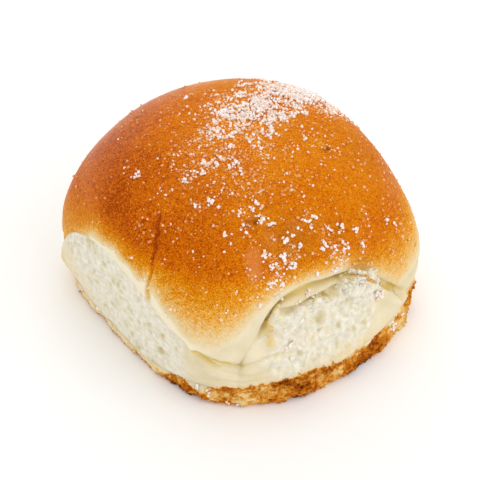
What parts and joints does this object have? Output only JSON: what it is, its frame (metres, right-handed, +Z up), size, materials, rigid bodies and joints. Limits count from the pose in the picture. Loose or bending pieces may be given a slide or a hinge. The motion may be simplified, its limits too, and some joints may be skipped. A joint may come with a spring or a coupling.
{
  "type": "sugar-topped bun",
  "caption": "Soft pull-apart sweet bun: browned sugared dome, torn pale sides under an overhanging crust, and a ragged browned foot.",
  "frame": {"origin": "middle of the plan box at the flat underside the bun rests on", "axes": "+Z up; the rounded front corner between the two pictured torn sides points at -Y; +X is to the viewer's right"},
  "size_m": [0.0938, 0.089, 0.0536],
  "materials": {
    "crust": "soft browned crust with a slight sheen"
  },
  "bodies": {
    "root": {"bun": "crust"}
  },
  "joints": []
}
